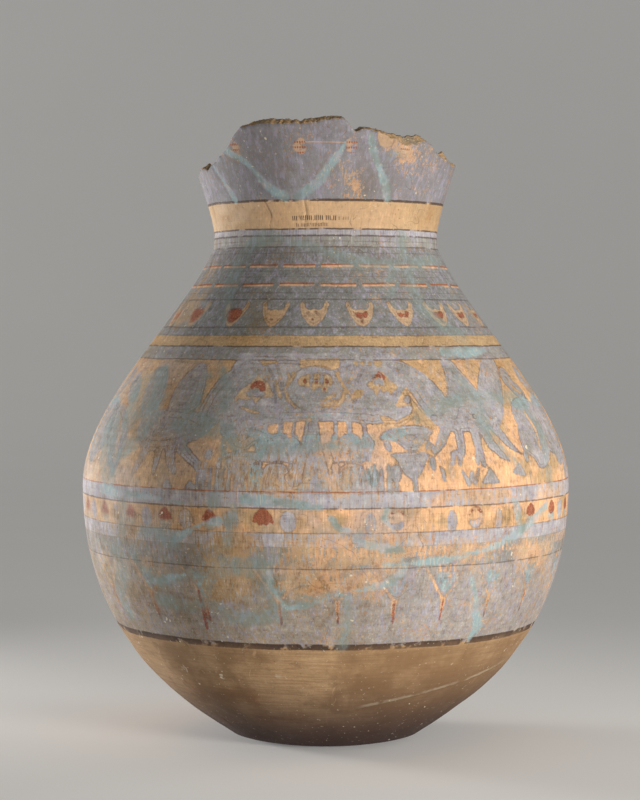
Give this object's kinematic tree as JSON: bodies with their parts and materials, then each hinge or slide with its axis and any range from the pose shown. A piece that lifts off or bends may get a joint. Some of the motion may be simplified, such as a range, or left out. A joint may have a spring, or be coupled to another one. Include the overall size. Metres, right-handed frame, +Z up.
{
  "type": "blue-painted pottery storage jar",
  "caption": "Tall hollow pottery storage jar with a wide belly, sloping shoulder, short throat and flaring broken neck, painted with blue bands, petals and a floral frieze.",
  "frame": {"origin": "centre of the flat spot under the jar, on the surface that it stands on", "axes": "+Z up along the jar's own axis, towards the neck; the painted front faces -Y; +X is to the right of someone looking at the front"},
  "size_m": [0.508, 0.508, 0.6369],
  "materials": {
    "jar_pottery": "matt fired clay with a buff slip, painted in worn pale blue, dark brown and orange-red"
  },
  "bodies": {
    "root": {"jar": "jar_pottery"}
  },
  "joints": []
}
